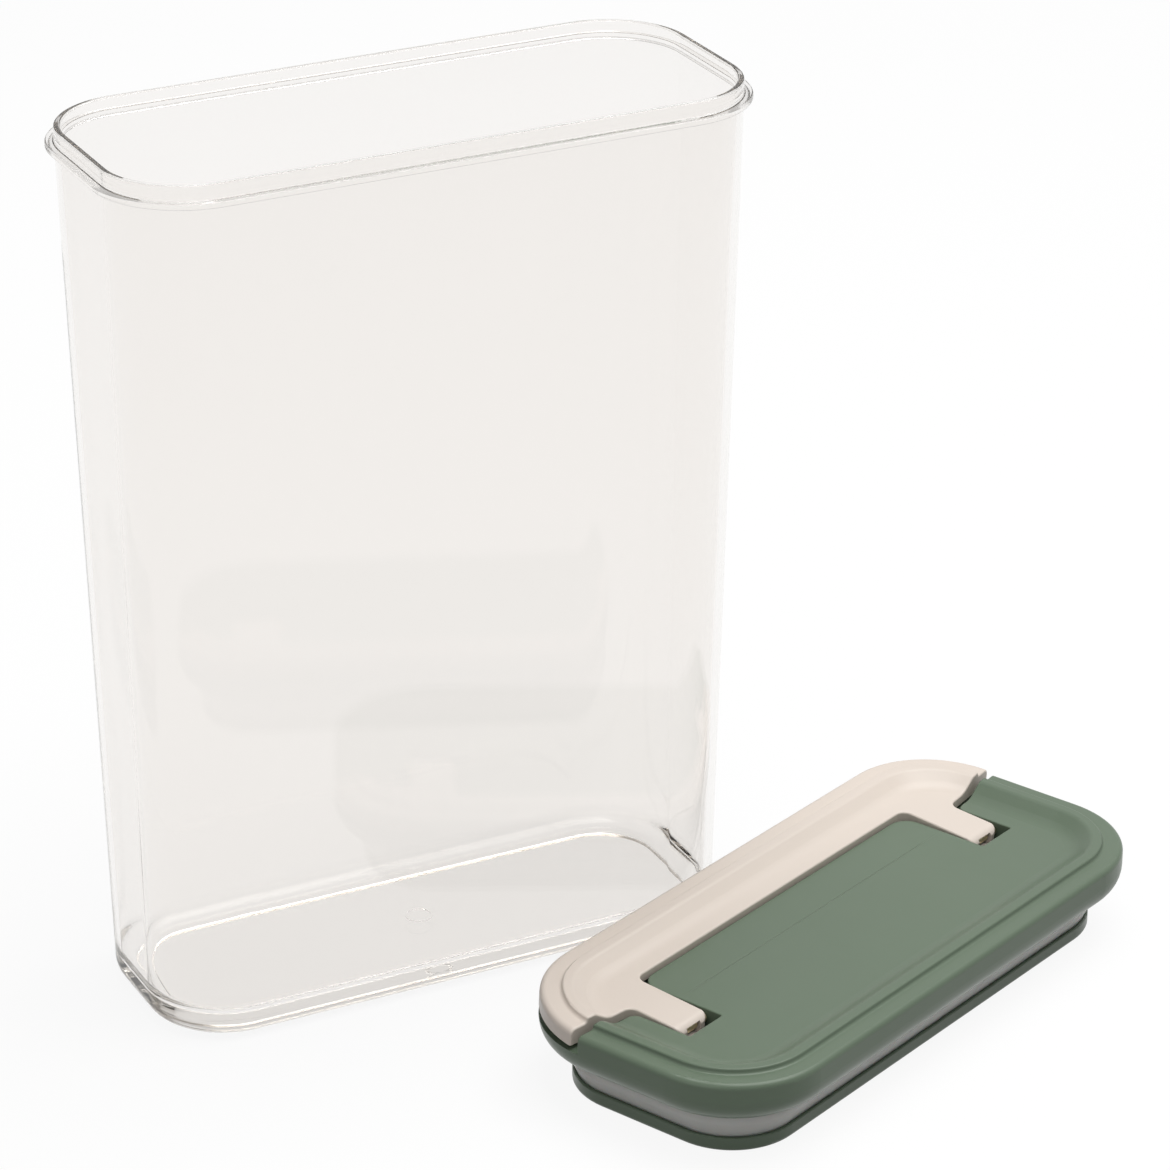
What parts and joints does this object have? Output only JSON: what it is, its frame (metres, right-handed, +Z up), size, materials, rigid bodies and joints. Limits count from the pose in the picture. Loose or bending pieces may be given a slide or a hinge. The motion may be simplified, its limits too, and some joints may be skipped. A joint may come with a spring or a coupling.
{
  "type": "storage jar with sealing lid",
  "caption": "Tall slim clear storage jar with rounded corners and a flanged neck, its sealing lid lying beside it: shallow cover, flip lever, cam-drawn base plate and silicone seal.",
  "frame": {"origin": "centre of the jar's foot, on the floor", "axes": "+X along the jar's long side, +Z up; the lid lies on the -Y side, turned 24.2 degrees about Z"},
  "size_m": [0.2913, 0.2034, 0.2615],
  "materials": {
    "clear_plastic": "clear polished",
    "green_plastic": "satin sage green",
    "beige_plastic": "satin beige",
    "white_plastic": "satin white",
    "silicone": "soft pale grey",
    "pin_brass": "satin",
    "steel": "plain"
  },
  "bodies": {
    "jar": {"jar_body": "clear_plastic"},
    "plate": {"base_plate": "green_plastic", "gasket_seal": "silicone", "left_pull_post": "white_plastic", "right_pull_post": "white_plastic", "left_follower_pin": "steel", "right_follower_pin": "steel"},
    "cover": {"lid_cover": "green_plastic", "under_cover": "green_plastic", "left_pivot_pin": "pin_brass", "right_pivot_pin": "pin_brass", "front_left_screw": "steel", "front_right_screw": "steel", "back_left_screw": "steel", "back_right_screw": "steel"},
    "lever": {"flip_lever": "beige_plastic"}
  },
  "joints": [
    {"name": "lid_lift", "type": "slide", "parent": "jar", "child": "plate", "axis": [0, 0, 1], "range_m": [0, 0.3]},
    {"name": "cover_rise", "type": "slide", "parent": "plate", "child": "cover", "axis": [0, 0, 1], "range_m": [-0.00015, 0.00306], "deforming": ["gasket_seal"]},
    {"name": "lever_flip", "type": "hinge", "parent": "cover", "child": "lever", "pos_m": [0.09267, -0.08797, 0.0217], "axis": [0.9121, 0.4099, 0], "range_deg": [-4.2, 85.8]}
  ],
  "couplings": [
    {"joint": "cover_rise", "follows": "lever_flip", "m_per_rad": 0.002037}
  ]
}
